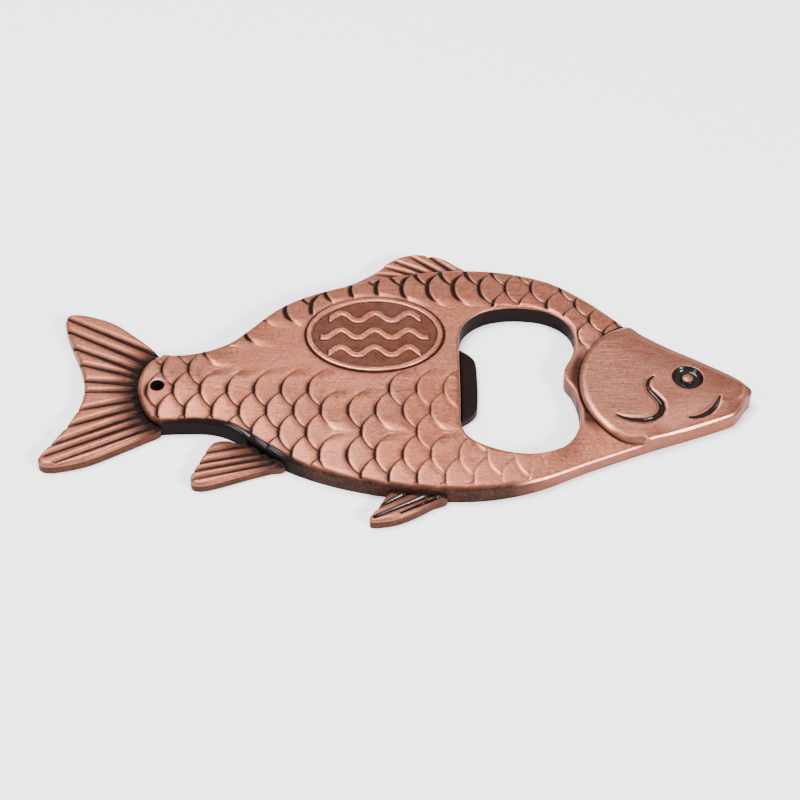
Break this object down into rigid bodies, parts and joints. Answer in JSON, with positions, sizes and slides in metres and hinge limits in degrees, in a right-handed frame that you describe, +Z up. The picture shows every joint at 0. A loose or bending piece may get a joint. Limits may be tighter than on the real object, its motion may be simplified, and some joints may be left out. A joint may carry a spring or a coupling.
{
  "type": "bottle opener",
  "caption": "Flat cast-metal fish with scales, fins and gill cover in relief, an opening with a prying lip for crown caps, and a small key-ring hole at the tail.",
  "frame": {"origin": "middle of the bounding box of the flat back that the fish lies on, at the table's surface", "axes": "+X along the fish's length from the tail to the snout, +Y across it from the belly to the back, +Z up out of the side with the relief"},
  "size_m": [0.1418, 0.073, 0.005],
  "materials": {
    "antique_copper": "zinc alloy casting with antique copper plating: blackened in the recesses, brushed to a satin on the raised relief",
    "dark_patina": "the same plating left blackened and unpolished"
  },
  "bodies": {
    "root": {"body": "antique_copper", "head_plate": "antique_copper", "eye": "antique_copper", "medallion": "antique_copper", "pry_lip": "dark_patina", "tail_fin": "antique_copper", "dorsal_fin": "antique_copper", "anal_fin": "antique_copper", "pelvic_fin": "antique_copper"}
  },
  "joints": []
}
